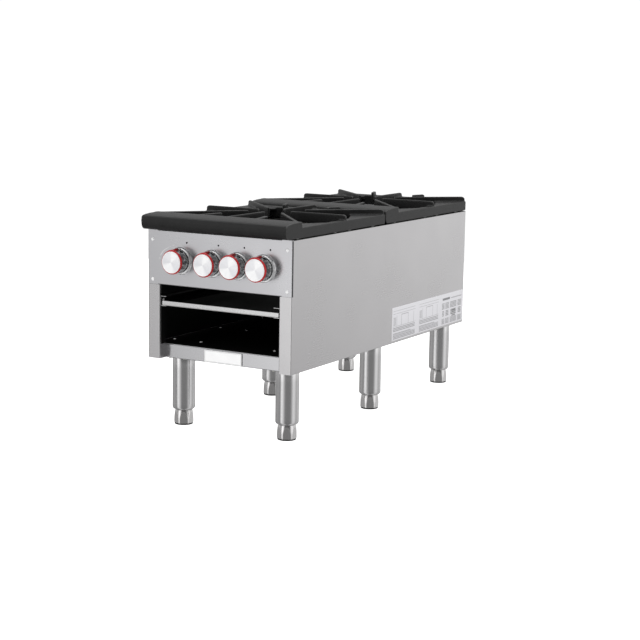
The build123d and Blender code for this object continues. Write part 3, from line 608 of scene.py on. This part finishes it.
def burner_ports(cy, r_mean, count_out, count_in):
    """Drilled flame ports along both slopes of a ring burner."""
    zc = 0.505 + 0.0195
    holes = []
    for rr, n in ((r_mean + 9.0, count_out), (r_mean - 9.0, count_in)):
        for k in range(n):
            a = 2 * math.pi * (k + 0.5) / n
            holes.append((rr / 1000 * math.cos(a), (cy - YC) / 1000 + rr / 1000 * math.sin(a)))
    yc = (cy - YC) / 1000

    def go(me):
        for v in me.vertices:
            x, y, z = v.co
            if z < 0.516 or z > 0.5295:
                continue
            rr = math.hypot(x, y - yc)
            side = 1 if rr > r_mean / 1000 else -1
            if abs(rr - (r_mean + 9.0 * side) / 1000) > 0.004:
                continue
            n = count_out if side > 0 else count_in
            a = math.atan2(y - yc, x) % (2 * math.pi)
            k = int(a / (2 * math.pi) * n)
            ac = 2 * math.pi * (k + 0.5) / n
            dt = (a - ac) * rr
            dr = ((rr - (r_mean + 9.0 * side) / 1000) ** 2 + (z - zc) ** 2) ** 0.5
            d = math.hypot(dt, dr)
            w = 1 - smooth01((d - 0.0010) / 0.0011)
            if w > 0:
                inward = 0.0022 * w
                ca, sa = math.cos(a), math.sin(a)
                v.co = (x - side * ca * inward * 0.8, y - side * sa * inward * 0.8, z - inward * 0.6)
    return go


casting("front_grate", "grate_front", ratio=0.27)
casting("rear_grate", "grate_rear", ratio=0.27)
casting("burner_front_outer", "cabinet", 1.15, 3, "burner", 0.5, burner_ports(BURN["front"], 100.0, 60, 48))
casting("burner_front_inner", "cabinet", 1.15, 3, "burner", 0.5, burner_ports(BURN["front"], 45.0, 28, 20))
casting("burner_rear_outer", "cabinet", 1.15, 3, "burner", 0.5, burner_ports(BURN["rear"], 100.0, 60, 48))
casting("burner_rear_inner", "cabinet", 1.15, 3, "burner", 0.5, burner_ports(BURN["rear"], 45.0, 28, 20))

# ------------------------------------------------------------------ knobs
SEG = 192


def knob_body(n, cx):
    bm = bmesh.new()
    ys = [(-1.5, 29.2), (-1.8, 29.8), (-2.4, 30.0), (-7.4, 30.0), (-8.0, 29.9)]
    ys += [(-8.0 - 30.0 * t, 29.95 - 1.55 * t) for t in (0.02, 0.05, 0.08, 0.11, 0.14, 0.18, 0.24, 0.32, 0.42, 0.54, 0.66, 0.78, 0.88, 0.95)]
    ys += [(-37.7, 28.3), (-38.0, 27.9)]
    rings = [[P(cx, -1.5, KNOB_Z)]]
    for y, R in ys:
        s = smooth01((-9.2 - y) / 5.0)
        row = []
        for i in range(SEG):
            a = 2 * math.pi * i / SEG
            r = R
            if s > 0:
                d = ((math.degrees(a) - 22.5 + 22.5) % 45.0) - 22.5
                dr = math.radians(d)
                rc, rf = 39.0, 12.5
                q = rf * rf - (rc * math.sin(dr)) ** 2
                if q > 0:
                    rfl = rc * math.cos(dr) - math.sqrt(q)
                    if rfl < R:
                        r = R - (R - rfl) * s
            x, z = r * math.cos(a), r * math.sin(a)
            if y < -11.4 and z > 0 and abs(x) < 2.9:
                z = min(z, 26.9)
            row.append(P(cx + x, y, KNOB_Z + z))
        rings.append(row)
    rings.append([P(cx, -38.0, KNOB_Z)])
    skin(bm, rings)
    return piece(f"knob_body_{n}", bm, M["chrome"], f"knob_assembly_{n}", (f"knob_{n}",), 28.0)


def knob_ring(n, cx):
    """Red ring that swells into the pointer, a black seat behind it as painted shade on the ring's back, and the
    pointer blade.
    """
    bm = bmesh.new()

    def ringed(pr, mat):
        rings = []
        for i in range(160):
            a = 2 * math.pi * i / 160
            d = (math.degrees(a) - 90.0) / 17.0
            flare = 1.5 * math.exp(-d * d)
            row = []
            for r, h in pr:
                q = r + flare * smooth01((r - 29.6) / 3.4)
                row.append(P(cx + q * math.cos(a), h, KNOB_Z + q * math.sin(a)))
            rings.append(row)
        skin(bm, rings, mat, loop=True)

    pr = [(24.2, -38.5), (32.3, -38.5), (32.3, -40.4)]
    pr += arc(30.9, -40.9, 1.4, 0, -46, 5)[1:] + [(30.5, -43.1)] + arc(30.2, -42.95, 0.5, -40, -100, 3) + \
        [(29.4, -43.35), (29.3, -42.6), (24.2, -42.6)]
    ringed(pr, 0)
    # the black seat is painted shade on the back of the ring
    ringed([(24.2, -38.0), (31.6, -38.0), (32.1, -38.25), (32.2, -38.49), (24.2, -38.49)], 1)
    rings = []
    for t in [0.0, 0.04, 0.10, 0.2, 0.35, 0.5, 0.65, 0.8, 0.9, 0.96, 1.0]:
        y = -40.2 + 28.6 * t
        w = 2.45 - 0.45 * t
        top = 33.4 + 2.6 * t
        if t > 0.9:
            top -= 1.2 * ((t - 0.9) / 0.1) ** 2
            w -= 0.5 * ((t - 0.9) / 0.1) ** 2
        lo = 27.0
        e = 0.8
        sec = [(-w, lo), (w, lo), (w, top - e)] + [(w - e + e * math.cos(math.radians(b)), top - e + e * math.sin(math.radians(b))) for b in (30, 60, 90)] + \
            [(-w + e + e * math.cos(math.radians(b)), top - e + e * math.sin(math.radians(b))) for b in (90, 120, 150)] + [(-w, top - e)]
        rings.append([P(cx + u, y, KNOB_Z + v) for u, v in sec])
    skin(bm, rings)
    return piece(f"knob_ring_{n}", bm, [M["red"], M["dark"]], f"knob_assembly_{n}", (f"knob_face_{n}",), 40.0)


def knob_disc(n, cx):
    bm = bmesh.new()
    pr = [(0.0, -38.2), (23.9, -38.2), (23.9, -42.7), (28.6, -42.7), (29.1, -43.1), (29.2, -43.8)]
    pr += arc(28.5, -44.15, 0.7, 0, -90, 4)[1:]
    pr += [(27.9, -44.82), (27.5, -44.62), (27.2, -44.5)]
    r = 26.8
    while r > 1.6:
        pr += [(r, -44.5 - 0.03), (r - 0.6, -44.5 + 0.03)]
        r -= 1.2
    pr += [(1.0, -44.42), (0.0, -44.35)]
    turned(bm, pr, (cx, 0, KNOB_Z), "y", 128, loop=False)
    return piece(f"knob_disc_{n}", bm, spun_disc(f"turned_disc_{n}", cx), f"knob_assembly_{n}", (f"knob_face_{n}",), 50.0)


for i_, x_ in enumerate(KNOB_X):
    knob_body(i_ + 1, x_)
    knob_ring(i_ + 1, x_)
    knob_disc(i_ + 1, x_)

bm = bmesh.new()
for x_ in KNOB_X:
    pr_ = [(31.0, -0.02), (37.45, -0.02), (37.5, -0.9), (37.2, -1.5), (36.9, -1.9)]
    pr_ += arc(33.4, -4.6, 3.35, 30, -62, 10)
    pr_ += [(34.3, -7.8), (33.4, -7.98), (32.2, -7.98), (31.6, -7.7), (31.15, -7.0), (31.0, -6.0)]
    turned(bm, pr_, (x_, 0, KNOB_Z), "y", 128)
piece("knob_bezels_turned", bm, M["bezel"], "cabinet", ("knob_bezels",), 30.0)

# printed marks on the panel, round the left knob: an arc from low to off
bm = bmesh.new()
MARK = [(-187.6, 478.0), (-184.4, 483.6), (-179.6, 489.6), (-174.6, 493.8), (-168.0, 498.0), (-161.0, 501.6), (-154.0, 504.6)]
rings_ = []
for k_, (x_, z_) in enumerate(MARK):
    x1_, z1_ = MARK[min(k_ + 1, len(MARK) - 1)]
    x0_, z0_ = MARK[max(k_ - 1, 0)]
    tx_, tz_ = x1_ - x0_, z1_ - z0_
    l_ = math.hypot(tx_, tz_)
    nx_, nz_ = -tz_ / l_, tx_ / l_
    w_ = 0.5 + 0.8 * (1 - k_ / (len(MARK) - 1))
    rings_.append([P(x_ + nx_ * w_, -0.01, z_ + nz_ * w_), P(x_ + nx_ * w_, -0.06, z_ + nz_ * w_),
                   P(x_ - nx_ * w_, -0.06, z_ - nz_ * w_), P(x_ - nx_ * w_, -0.01, z_ - nz_ * w_)])
skin(bm, rings_)
for c0_, c1_ in ((-144.5, 509.4), (-190.2, 470.2)):
    rings_ = []
    for k_ in range(24):
        a = 2 * math.pi * k_ / 24
        rings_.append([P(c0_ + q_ * math.cos(a) * 0.8, d_, c1_ + q_ * math.sin(a))
                       for q_, d_ in ((2.0, -0.01), (2.0, -0.06), (3.1, -0.06), (3.1, -0.01))])
    skin(bm, rings_, loop=True)
piece("panel_marks", bm, M["ink"], "cabinet", (), 30.0)

# ------------------------------------------------------------------ screws


def screw(bm, seat, nrm, r, h, spin=0.0, cross=0.45):
    """Low domed head with a cross recess on a thin washer face. seat in design mm."""
    nrm = Vector(nrm)
    u = Vector((1, 0, 0)) if abs(nrm.x) < 0.9 else Vector((0, 1, 0))
    v = nrm.cross(u)
    c = Vector(P(*seat))
    R = (r * r + h * h) / (2 * h)
    seg, rad = 40, 11
    rings = [[c + (u * math.cos(2 * math.pi * k / seg) + v * math.sin(2 * math.pi * k / seg)) * (r - 0.05) / 1000 for k in range(seg)]]
    for j in range(rad + 1):
        q = r * (1 - j / rad)
        if j == rad:
            z = h - cross
            rings.append([c + nrm * z / 1000])
            break
        row = []
        for k in range(seg):
            a = 2 * math.pi * k / seg
            z = max(0.35, math.sqrt(max(R * R - q * q, 0)) - (R - h)) if j else 0.35
            b = a + spin
            px, py = abs(q * math.cos(b)), abs(q * math.sin(b))
            arm = r * 0.36
            w = 0.42
            s1 = smooth01((w - min(px, py)) / 0.35 + 0.5) * smooth01((arm - max(px, py)) / 0.5 + 0.5)
            z -= cross * s1
            row.append(c + (u * math.cos(a) + v * math.sin(a)) * q / 1000 + nrm * max(z, 0.2) / 1000)
        rings.append(row)
    skin(bm, rings, cap0=True, cap1=False)


HW = 228.5
bm = bmesh.new()
for k_, (x_, z_) in enumerate([(x, z) for x in (-213.0, 213.0) for z in (412.3, 520.7)]):
    screw(bm, (x_, 0.0, z_), (0, -1, 0), 4.95, 3.35, 0.4 + 0.9 * k_, 0.12)
for sx_ in (-1, 1):
    screw(bm, (sx_ * (190.2 - 1.2), 16, 355.6), (-sx_, 0, 0), 3.6, 1.4, 0.3)
piece("front_screws_domed", bm, M["screw"], "cabinet", ("front_screws",), 35.0)
bm = bmesh.new()
for i_, x_ in enumerate((-208.0, -119.0, 119.0, 208.0)):
    for j_, y_ in enumerate((95.0, 325.0, 555.0, 785.0, 1015.0)):
        screw(bm, (x_, y_, 232.7), (0, 0, 1), 4.6, 2.3, 0.37 * (3 * i_ + 5 * j_))
piece("floor_screws_domed", bm, M["screw"], "cabinet", ("floor_screws",), 35.0)
bm = bmesh.new()
for sx_ in (-1, 1):
    for j_, z_ in enumerate((222.0, 300.0, 378.0, 456.0, 528.0)):
        screw(bm, (sx_ * (HW - 10), 1054.0, z_), (0, 1, 0), 4.6, 2.3, 0.5 * j_ + sx_)
piece("rear_screws_domed", bm, M["screw"], "cabinet", ("rear_screws",), 35.0)

# ------------------------------------------------------------------ legs and feet
TURN = {"front_left": 34.0, "front_right": 31.0, "middle_left": 28.0,
        "middle_right": 33.0, "rear_left": 36.0, "rear_right": 29.0}
for yn_, y_ in LEG_Y.items():
    for xn_, sx_ in (("left", -1), ("right", 1)):
        c_ = (sx_ * LEG_X, y_, 0.0)
        bm = bmesh.new()
        pr_ = [(8.2, 42.6), (22.6, 42.3), (23.5, 42.2)] + arc(23.5, 50.2, 8.0, -90, 0, 12)[1:]
        pr_ += [(31.5, 60.0), (31.42, 90.0), (31.5, 120.0), (31.45, 160.0), (31.5, 190.6), (31.2, 191.7),
                (29.9, 191.7), (29.9, 60.5), (8.2, 60.5)]
        turned(bm, pr_, c_, "z", 96)
        # plate with the weld bead that joins it to the tube
        slab(bm, 64, 72, 5, 194.9, 191.9, 0.5,
             lambda u, v, d, c_=c_: P(c_[0] + u, c_[1] + v, d), n=5)
        bead = [(31.3, 191.95), (34.0, 191.95), (33.2, 190.6), (31.9, 189.6), (31.3, 189.4)]
        rings_ = []
        for k_ in range(96):
            a = 2 * math.pi * k_ / 96
            g = 1.0 + 0.10 * math.sin(a * 34) + 0.05 * math.sin(a * 13 + sx_)
            row_ = []
            for r, h in bead:
                r2 = 31.3 + (r - 31.3) * g
                row_.append(P(c_[0] + r2 * math.cos(a), c_[1] + r2 * math.sin(a), h))
            rings_.append(row_)
        skin(bm, rings_, loop=True)
        piece(f"leg_tube_{yn_}_{xn_}", bm, M["leg"], "cabinet", (f"leg_{yn_}_{xn_}",), 32.0)

        bm = bmesh.new()
        rc_ = ((41.9 - 14.0) ** 2 + 3.1 ** 2) / (2 * 3.1)
        t_ = math.radians(TURN[f"{yn_}_{xn_}"])
        hs_ = [(3.6, 25.5), (3.8, 26.0), (4.2, 26.3), (4.8, 26.5), (8.0, 26.5), (14.0, 26.5)]
        hs_ += [(14.0 + 27.9 * k / 14, 26.5 - rc_ + math.sqrt(rc_ ** 2 - (27.9 * k / 14) ** 2)) for k in range(1, 14)]
        hs_ += [(41.5, 23.3), (41.9, 22.8)]
        rings_ = [[P(c_[0], c_[1], 3.6)]]
        for z_, R in hs_:
            row_ = []
            for k_ in range(144):
                a = 2 * math.pi * k_ / 144
                d = (math.degrees(a - t_) - 30.0 + 30.0) % 60.0 - 30.0
                flat = 24.5 / math.cos(math.radians(d))
                # soft meeting of the flat and the turned face
                e = 0.25
                hmix = min(1.0, max(0.0, 0.5 + 0.5 * (flat - R) / e))
                r = flat * (1 - hmix) + R * hmix - e * hmix * (1 - hmix)
                if z_ < 4.5:
                    r = min(r, R)
                row_.append(P(c_[0] + r * math.cos(a), c_[1] + r * math.sin(a), z_))
            rings_.append(row_)
        rings_.append([P(c_[0], c_[1], 41.9)])
        skin(bm, rings_)
        # pad
        turned(bm, [(0.0, 0.02), (24.8, 0.02), (25.15, 0.4), (25.15, 3.3), (24.9, 3.62), (0.0, 3.62)], c_, "z", 72, mat=1, loop=False)
        # threaded stem
        rings_ = [[P(c_[0], c_[1], 41.0)]]
        per, seg_ = 2.0, 32
        z_ = 41.0
        while z_ <= 91.8:
            row_ = []
            for k_ in range(seg_):
                a = 2 * math.pi * k_ / seg_
                ph = (z_ / per - k_ / seg_) % 1.0
                tri = 1 - abs(2 * ph - 1)
                r = 7.15 + 0.8 * tri
                if z_ > 90.8:
                    r = min(r, 7.2)
                row_.append(P(c_[0] + r * math.cos(a), c_[1] + r * math.sin(a), z_))
            rings_.append(row_)
            z_ += per / 5
        rings_.append([P(c_[0], c_[1], 92.0)])
        skin(bm, rings_, mat=2)
        piece(f"foot_faceted_{yn_}_{xn_}", bm, [M["foot"], M["pad"], M["zinc"]], f"level_{yn_}_{xn_}",
              (f"foot_{yn_}_{xn_}",), 40.0)

# ------------------------------------------------------------------ badge plate and side labels
bm = bmesh.new()
slab(bm, 119.0, 32.7, 1.5, 27.0, 23.6, 0.7, lambda u, v, d: P(u, d, 212.65 + v), n=5)
piece("badge_plate_blank", bm, M["badge"], "cabinet", ("badge_plate",), 35.0)

LAB = [(566.0, 725.0), (735.0, 885.0), (892.0, 1051.0)]
rules_ = []
# (y0, y1, z0, z1, step, width, tone): ruled rows, frames and blank boxes
for k_, (a_, b_) in enumerate(LAB):
    a_ += 8
    b_ -= 8
    if k_ < 2:
        for zz in (287.0, 279.0, 241.5):
            rules_.append((a_, b_, zz, zz + 1.3, 0, 0, 0.55))
        for yy in (a_ + 22, (a_ + b_) / 2 - 20, (a_ + b_) / 2 + 24, b_ - 12):
            rules_.append((yy, yy + 1.8, 242.0, 274.0, 0, 0, 0.62))
        rules_.append(((a_ + b_) / 2 - 20, (a_ + b_) / 2 + 24, 273.0, 275.0, 0, 0, 0.62))
        rules_.append((a_ + 2, a_ + 18, 246.0, 270.0, 3.4, 1.6, 0.70))
        rules_.append((a_, b_ - 3, 228.0, 238.5, 4.2, 2.0, 0.85))
        rules_.append((a_, b_ - 30, 220.0, 224.0, 4.2, 1.9, 0.75))
        rules_.append((a_, b_ - 2, 205.5, 218.5, 3.9, 1.9, 0.85))
    else:
        for c0_, c1_ in ((a_, a_ + 18), (a_ + 24, a_ + 50), (a_ + 58, a_ + 104), (a_ + 112, b_ - 4)):
            rules_.append((c0_, c1_, 206.0, 222.0, 3.6, 1.9, 0.85))
            rules_.append((c0_ + 3, c1_ - 3, 230.0, 246.0, 4.6, 2.6, 0.95))
            rules_.append((c0_, c1_, 252.0, 272.0, 4.0, 2.1, 0.90))
        rules_.append((a_ + 70, a_ + 96, 224.0, 246.0, 5.4, 3.6, 1.0))
        rules_.append((a_ + 4, a_ + 56, 279.0, 286.0, 0, 0, 0.95))
        rules_.append((a_ + 64, b_ - 3, 280.5, 283.5, 0, 0, 0.62))
paper_m = paper("label_film", rules_)
bm = bmesh.new()
slab(bm, 1051.0 - 566.0, 98.0, 2.0, 228.49, 228.68, 0.06, lambda u, v, d: P(d, 808.5 + u, 250.2 + v), n=5, steps=2)
lab_ = new_obj("side_label_blank", bm, paper_m, 35.0)
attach(lab_, "cabinet")

# ------------------------------------------------------------------ stage, light, camera
bm = bmesh.new()
N_ = 96
R_ = 3.4
c_ = bm.verts.new((0, 0.1, 0))
rim_ = [bm.verts.new((R_ * math.cos(2 * math.pi * i / N_), 0.1 + R_ * math.sin(2 * math.pi * i / N_), 0)) for i in range(N_)]
for i in range(N_):
    bm.faces.new((c_, rim_[i], rim_[(i + 1) % N_]))
fl = Mat("stage_floor")
fl.set(Roughness=0.9)
nz = fl.noise(fl.mapped((30, 30, 30)), 1.0, 3.0)
fl.to("Base Color", fl.mixc(nz, (0.40, 0.40, 0.40), (0.42, 0.42, 0.42)))
fl.b.inputs["Emission Color"].default_value = (1, 1, 1, 1)
fl.b.inputs["Emission Strength"].default_value = 1.0
floor_ = new_obj("stage_floor", bm, fl.m, None)
floor_.visible_glossy = False
floor_.visible_diffuse = False

world = bpy.data.worlds.new("studio")
bpy.context.scene.world = world
world.use_nodes = True
wt = world.node_tree
wt.nodes.clear()
wo = wt.nodes.new("ShaderNodeOutputWorld")
tc = wt.nodes.new("ShaderNodeTexCoord")
sx = wt.nodes.new("ShaderNodeSeparateXYZ")
wt.links.new(tc.outputs["Generated"], sx.inputs[0])


def wmath(op, a, b=None):
    nd = wt.nodes.new("ShaderNodeMath")
    nd.operation = op
    for i, v in enumerate((a, b)):
        if v is None:
            continue
        if isinstance(v, (int, float)):
            nd.inputs[i].default_value = v
        else:
            wt.links.new(v, nd.inputs[i])
    return nd.outputs[0]


# azimuth: 0 towards the front (-Y), positive towards +X
az = wmath("ARCTAN2", sx.outputs[0], wmath("MULTIPLY", sx.outputs[1], -1.0))
fac = wmath("ADD", wmath("DIVIDE", az, 2 * math.pi), 0.5)


def ramp_of(stops, mode="LINEAR"):
    ramp = wt.nodes.new("ShaderNodeValToRGB")
    ramp.color_ramp.interpolation = mode
    wt.links.new(fac, ramp.inputs[0])
    el_ = ramp.color_ramp.elements
    while len(el_) > 1:
        el_.remove(el_[-1])
    for i, (a, v) in enumerate(stops):
        e = el_[0] if i == 0 else el_.new((a + 180) / 360)
        e.position = (a + 180) / 360
        e.color = (v, v, v, 1)
    return ramp.outputs[0]


# below the horizon, and just above it
STOPS = [(-180, 0.50), (-150, 0.52), (-120, 0.55), (-76, 0.60), (-60, 0.56), (-44, 0.38), (-37, 0.44), (-30, 1.90), (-21, 1.60),
         (-8, 1.15), (2, 0.80), (9, 0.37), (30, 0.36), (66, 0.36), (82, 0.95), (92, 1.30), (108, 1.25), (122, 0.82),
         (140, 0.76), (148, 0.83), (154, 1.06), (162, 1.08), (180, 0.50)]
STOPS_UP = [(-180, 0.50), (-150, 0.52), (-120, 0.55), (-76, 0.60), (-60, 0.56), (-44, 0.38), (-37, 0.44), (-30, 1.90), (-21, 1.60),
            (-8, 1.10), (-2, 0.60), (4, 0.15), (70, 0.15), (82, 0.85), (92, 1.30), (108, 1.25), (122, 0.82), (140, 0.76),
            (148, 0.83), (154, 1.06), (162, 1.08), (180, 0.50)]
low = ramp_of(STOPS)
high = ramp_of(STOPS_UP)


def wrange(v, a, b, c, d):
    nd = wt.nodes.new("ShaderNodeMapRange")
    nd.interpolation_type = "SMOOTHSTEP"
    for s_, q in zip(("From Min", "From Max", "To Min", "To Max"), (a, b, c, d)):
        nd.inputs[s_].default_value = q
    wt.links.new(v, nd.inputs["Value"])
    return nd.outputs[0]


def wmix(f, a, b):
    nd = wt.nodes.new("ShaderNodeMix")
    nd.data_type = "RGBA"
    for i, v in ((0, f), (6, a), (7, b)):
        if isinstance(v, tuple):
            nd.inputs[i].default_value = v
        else:
            wt.links.new(v, nd.inputs[i])
    return nd.outputs[2]


drop = wrange(sx.outputs[2], -0.27, -0.08, 0.64, 1.0)
low = wmath("MULTIPLY", low, drop)
low = wmix(wrange(sx.outputs[2], -0.06, 0.01, 0.0, 1.0), low, high)
up = wrange(sx.outputs[2], 0.52, 0.90, 0.0, 1.0)
sky = wmix(up, low, (0.80, 0.80, 0.81, 1))
lp = wt.nodes.new("ShaderNodeLightPath")
sky = wmix(lp.outputs["Is Diffuse Ray"], sky, (1.08, 1.08, 1.08, 1))
bgl = wt.nodes.new("ShaderNodeBackground")
wt.links.new(sky, bgl.inputs[0])
bgc = wt.nodes.new("ShaderNodeBackground")
bgc.inputs[0].default_value = (1.05, 1.05, 1.05, 1)
ms = wt.nodes.new("ShaderNodeMixShader")
wt.links.new(lp.outputs["Is Camera Ray"], ms.inputs[0])
wt.links.new(bgl.outputs[0], ms.inputs[1])
wt.links.new(bgc.outputs[0], ms.inputs[2])
wt.links.new(ms.outputs[0], wo.inputs[0])


def area(name, loc, target, size, power, size_y=None):
    ld = bpy.data.lights.new(name, "AREA")
    ld.shape = "RECTANGLE"
    ld.size = size
    ld.size_y = size_y or size
    ld.energy = power
    ob = bpy.data.objects.new(name, ld)
    bpy.context.scene.collection.objects.link(ob)
    ob.location = loc
    d = Vector(target) - Vector(loc)
    ob.rotation_euler = d.to_track_quat("-Z", "Y").to_euler()
    return ob


area("softbox_top", (0.2, 0.2, 3.2), (0, 0, 0.3), 2.6, 60, 3.2)

# camera, from the photograph's own perspective
R1 = Vector((0.8652619, 0.5010683, 0.0158894))
U1 = Vector((-0.0948719, 0.1325411, 0.9866267))
B1 = Vector((0.4922613, -0.8551979, 0.16222))
cd = bpy.data.cameras.new("camera")
cd.sensor_fit = "HORIZONTAL"
cd.sensor_width = 36.0
cd.lens = 1564.5768 * 36.0 / 640.0
cd.clip_start, cd.clip_end = 0.05, 60.0
cam = bpy.data.objects.new("camera", cd)
bpy.context.scene.collection.objects.link(cam)
mw = Matrix((
    (R1.x, U1.x, B1.x, 2.284009),
    (R1.y, U1.y, B1.y, -3.941143),
    (R1.z, U1.z, B1.z, 0.99849),
    (0, 0, 0, 1)))
cam.matrix_world = mw
bpy.context.scene.camera = cam
bpy.context.scene.view_settings.view_transform = "Standard"
bpy.context.scene.view_settings.look = "None"
